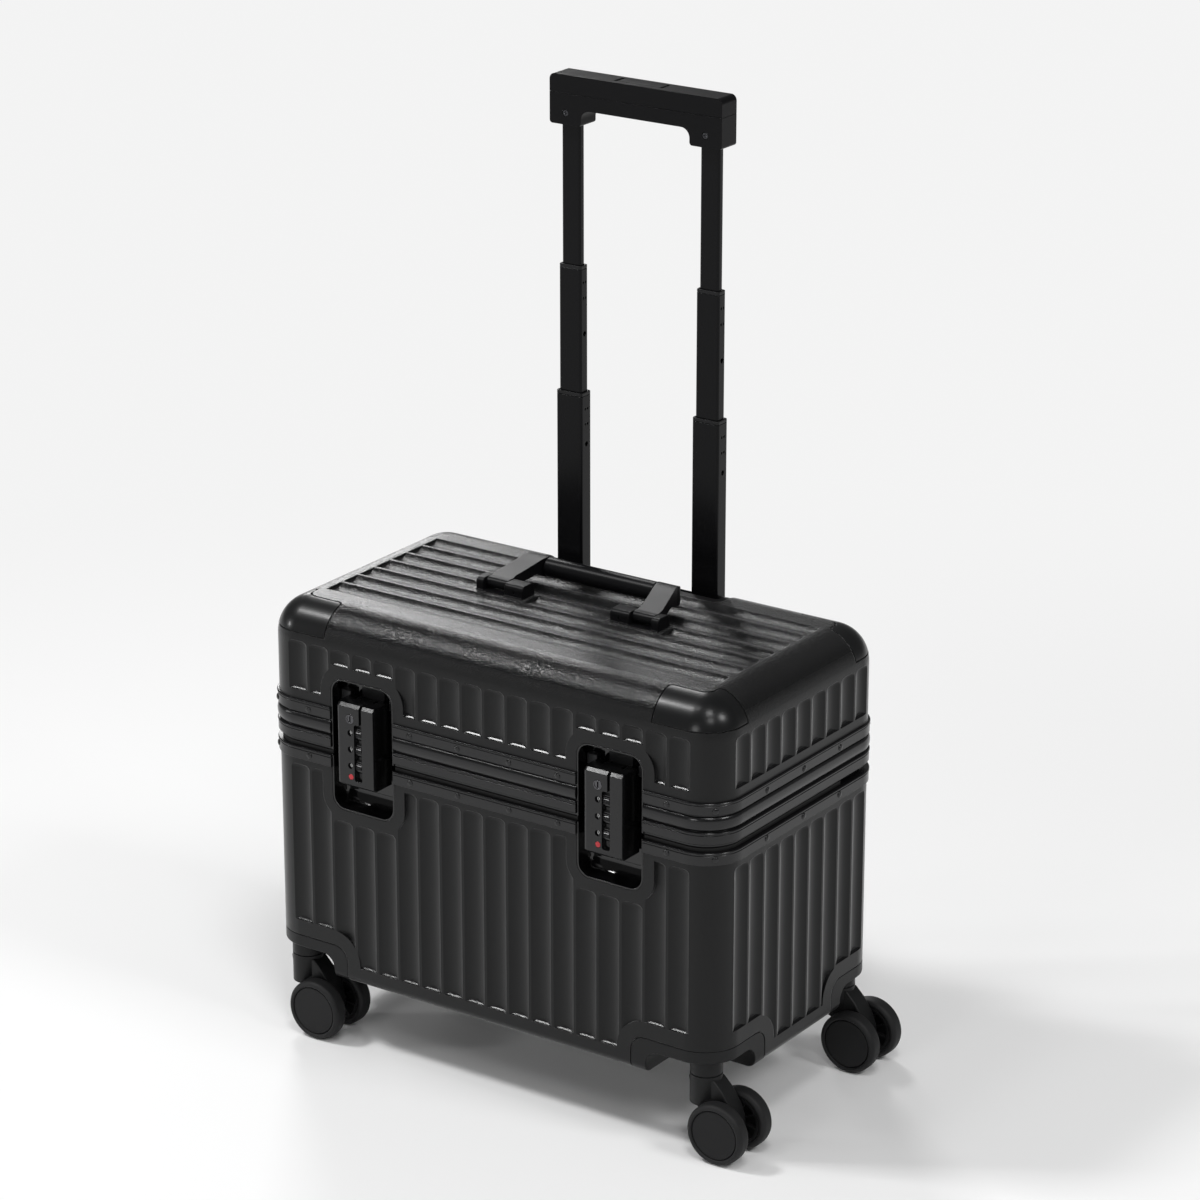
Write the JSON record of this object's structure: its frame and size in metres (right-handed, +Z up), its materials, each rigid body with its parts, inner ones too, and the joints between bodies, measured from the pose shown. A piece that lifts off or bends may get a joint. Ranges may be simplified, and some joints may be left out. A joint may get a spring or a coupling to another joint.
{
  "type": "aluminum carry-on suitcase",
  "caption": "Black fluted cabin case with a top-opening lid, riveted aluminium rails, twin combination locks, pull-out trolley and swivel casters.",
  "frame": {"origin": "centre of the case in plan, on the floor that its wheels stand on", "axes": "+Z up; the front with the two locks faces -Y; +X to the right seen from the front"},
  "size_m": [0.4684, 0.2527, 0.788],
  "materials": {
    "shell": "charcoal-black satin, moulded with fine leather grain on the lid's top",
    "frame": "black anodised, satin",
    "rivets": "black anodised, semi-gloss",
    "pad": "smooth satin black",
    "black_plastic": "satin black",
    "gloss_black": "gloss black",
    "lock_black": "satin black front, gloss black sides",
    "key_metal": "dark nickel",
    "dial": "black with pale numbers",
    "tubes": "black anodised, satin",
    "steel_pins": "plain steel",
    "grip": "soft black",
    "rubber": "matt black",
    "lining": "dark grey woven",
    "tyre": "matt black"
  },
  "bodies": {
    "root": {"lower_shell": "shell", "lower_frame": "frame", "lower_rivets": "rivets", "lower_lining": "lining", "rubber_seal": "rubber", "guard_front_left": "black_plastic", "guard_front_right": "black_plastic", "guard_rear_left": "black_plastic", "guard_rear_right": "black_plastic", "lower_pocket_left": "gloss_black", "lower_pocket_right": "gloss_black", "trolley_housing": "black_plastic", "outer_tubes": "tubes"},
    "lid": {"lid_shell": "shell", "lid_frame": "frame", "lid_rivets": "rivets", "lid_lining": "lining", "lid_bay_liner": "black_plastic", "lid_hinge_pins": "steel_pins", "pad_front_left": "pad", "pad_front_right": "pad", "pad_rear_left": "pad", "pad_rear_right": "pad", "lid_pocket_left": "gloss_black", "lid_pocket_right": "gloss_black", "lock_bracket_left": "steel_pins", "lock_bracket_right": "steel_pins", "handle_brackets": "black_plastic", "handle_pins": "steel_pins"},
    "lever_left": {"lock_left": "lock_black"},
    "lever_right": {"lock_right": "lock_black"},
    "key_left": {"key_cylinder_left": "key_metal"},
    "key_right": {"key_cylinder_right": "key_metal"},
    "carry_handle": {"carry_arms": "black_plastic", "carry_grip": "grip"},
    "trolley_lower": {"wide_tubes": "tubes"},
    "trolley_middle": {"middle_tubes": "tubes"},
    "trolley_upper": {"narrow_tubes": "tubes", "pull_grip": "black_plastic", "pull_cap": "black_plastic", "pull_screws": "steel_pins"},
    "button": {"release_button": "gloss_black", "release_rods": "steel_pins"},
    "wheel_left_1": {"dial_left_1": "dial"},
    "wheel_left_2": {"dial_left_2": "dial"},
    "wheel_left_3": {"dial_left_3": "dial"},
    "wheel_right_1": {"dial_right_1": "dial"},
    "wheel_right_2": {"dial_right_2": "dial"},
    "wheel_right_3": {"dial_right_3": "dial"},
    "swivel_front_left": {"fork_front_left": "black_plastic"},
    "axle_front_left": {"wheels_front_left": "tyre"},
    "swivel_front_right": {"fork_front_right": "black_plastic"},
    "axle_front_right": {"wheels_front_right": "tyre"},
    "swivel_rear_left": {"fork_rear_left": "black_plastic"},
    "axle_rear_left": {"wheels_rear_left": "tyre"},
    "swivel_rear_right": {"fork_rear_right": "black_plastic"},
    "axle_rear_right": {"wheels_rear_right": "tyre"}
  },
  "joints": [
    {"name": "lid_hinge", "type": "hinge", "parent": "root", "child": "lid", "pos_m": [0, 0.0955, 0.371], "axis": [-1, 0, 0], "range_deg": [0, 45]},
    {"name": "carry_handle_hinge", "type": "hinge", "parent": "lid", "child": "carry_handle", "pos_m": [0, 0.0015, 0.386], "axis": [1, 0, 0], "range_deg": [0, 90]},
    {"name": "trolley_lower_slide", "type": "slide", "parent": "root", "child": "trolley_lower", "axis": [0, 0, 1], "range_m": [-0.1864, 0]},
    {"name": "trolley_middle_slide", "type": "slide", "parent": "trolley_lower", "child": "trolley_middle", "axis": [0, 0, 1], "range_m": [-0.1054, 0]},
    {"name": "trolley_upper_slide", "type": "slide", "parent": "trolley_middle", "child": "trolley_upper", "axis": [0, 0, 1], "range_m": [-0.1155, 0]},
    {"name": "release_button_press", "type": "slide", "parent": "trolley_upper", "child": "button", "axis": [0, 0, 1], "range_m": [-0.003, 0], "stiffness_N_per_m": 400, "springref_m": 0.002},
    {"name": "lock_left_lever", "type": "hinge", "parent": "lid", "child": "lever_left", "pos_m": [-0.12, -0.111, 0.306], "axis": [-1, 0, 0], "range_deg": [0, 65]},
    {"name": "key_left_turn", "type": "hinge", "parent": "lever_left", "child": "key_left", "pos_m": [-0.1246, -0.1298, 0.2988], "axis": [0, 1, 0], "range_deg": [0, 90]},
    {"name": "dial_left_1_spin", "type": "hinge", "parent": "lever_left", "child": "wheel_left_1", "pos_m": [-0.12, -0.1227, 0.2868], "axis": [1, 0, 0], "continuous": true},
    {"name": "dial_left_2_spin", "type": "hinge", "parent": "lever_left", "child": "wheel_left_2", "pos_m": [-0.12, -0.1227, 0.2727], "axis": [1, 0, 0], "continuous": true},
    {"name": "dial_left_3_spin", "type": "hinge", "parent": "lever_left", "child": "wheel_left_3", "pos_m": [-0.12, -0.1227, 0.2586], "axis": [1, 0, 0], "continuous": true},
    {"name": "lock_right_lever", "type": "hinge", "parent": "lid", "child": "lever_right", "pos_m": [0.12, -0.111, 0.306], "axis": [-1, 0, 0], "range_deg": [0, 65]},
    {"name": "key_right_turn", "type": "hinge", "parent": "lever_right", "child": "key_right", "pos_m": [0.1154, -0.1298, 0.2988], "axis": [0, 1, 0], "range_deg": [0, 90]},
    {"name": "dial_right_1_spin", "type": "hinge", "parent": "lever_right", "child": "wheel_right_1", "pos_m": [0.12, -0.1227, 0.2868], "axis": [1, 0, 0], "continuous": true},
    {"name": "dial_right_2_spin", "type": "hinge", "parent": "lever_right", "child": "wheel_right_2", "pos_m": [0.12, -0.1227, 0.2727], "axis": [1, 0, 0], "continuous": true},
    {"name": "dial_right_3_spin", "type": "hinge", "parent": "lever_right", "child": "wheel_right_3", "pos_m": [0.12, -0.1227, 0.2586], "axis": [1, 0, 0], "continuous": true},
    {"name": "caster_front_left_swivel", "type": "hinge", "parent": "root", "child": "swivel_front_left", "pos_m": [-0.1975, -0.0986, 0.066], "axis": [0, 0, 1], "continuous": true},
    {"name": "caster_front_left_roll", "type": "hinge", "parent": "swivel_front_left", "child": "axle_front_left", "pos_m": [-0.1755, -0.0986, 0.0255], "axis": [0, 1, 0], "continuous": true},
    {"name": "caster_front_right_swivel", "type": "hinge", "parent": "root", "child": "swivel_front_right", "pos_m": [0.1975, -0.0986, 0.066], "axis": [0, 0, 1], "continuous": true},
    {"name": "caster_front_right_roll", "type": "hinge", "parent": "swivel_front_right", "child": "axle_front_right", "pos_m": [0.2195, -0.0986, 0.0255], "axis": [0, 1, 0], "continuous": true},
    {"name": "caster_rear_left_swivel", "type": "hinge", "parent": "root", "child": "swivel_rear_left", "pos_m": [-0.1975, 0.0986, 0.066], "axis": [0, 0, 1], "continuous": true},
    {"name": "caster_rear_left_roll", "type": "hinge", "parent": "swivel_rear_left", "child": "axle_rear_left", "pos_m": [-0.1755, 0.0986, 0.0255], "axis": [0, 1, 0], "continuous": true},
    {"name": "caster_rear_right_swivel", "type": "hinge", "parent": "root", "child": "swivel_rear_right", "pos_m": [0.1975, 0.0986, 0.066], "axis": [0, 0, 1], "continuous": true},
    {"name": "caster_rear_right_roll", "type": "hinge", "parent": "swivel_rear_right", "child": "axle_rear_right", "pos_m": [0.2195, 0.0986, 0.0255], "axis": [0, 1, 0], "continuous": true}
  ]
}
